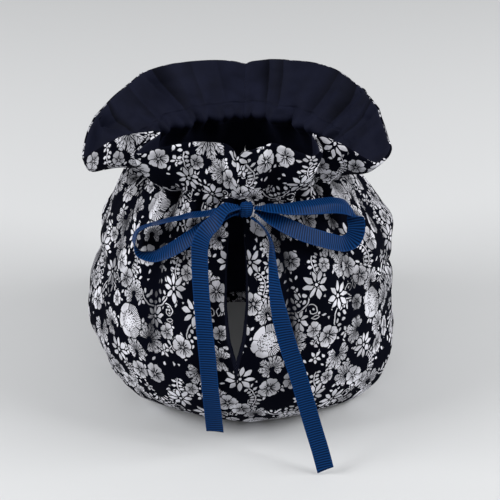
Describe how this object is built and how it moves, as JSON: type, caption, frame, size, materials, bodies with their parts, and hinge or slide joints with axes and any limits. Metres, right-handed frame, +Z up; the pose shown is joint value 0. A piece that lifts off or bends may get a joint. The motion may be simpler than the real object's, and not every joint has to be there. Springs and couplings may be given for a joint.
{
  "type": "tea cosy",
  "caption": "Drawstring tea cosy of printed cotton with a plain lining, gathered under an open ruffle and tied at the front with a ribbon bow.",
  "frame": {"origin": "on the surface that the hem rests on, under the middle of the cosy", "axes": "+Z up, -Y towards the front with its slit and bow, +X to the right as seen from the front"},
  "size_m": [0.2054, 0.2276, 0.1938],
  "materials": {
    "printed_cotton": "matt plain-weave cotton, dark navy with a dense white flower and leaf print",
    "lining_cotton": "plain dark navy cotton twill",
    "ribbon": "royal blue grosgrain ribbon with crosswise ribs"
  },
  "bodies": {
    "root": {"panel_left": "printed_cotton", "panel_right": "printed_cotton", "lining_left": "lining_cotton", "lining_right": "lining_cotton", "tie_lead_left": "ribbon", "tie_lead_right": "ribbon", "tie_knot": "ribbon", "tie_loop_left": "ribbon", "tie_loop_right": "ribbon", "tie_tail_left": "ribbon", "tie_tail_right": "ribbon"}
  },
  "joints": []
}
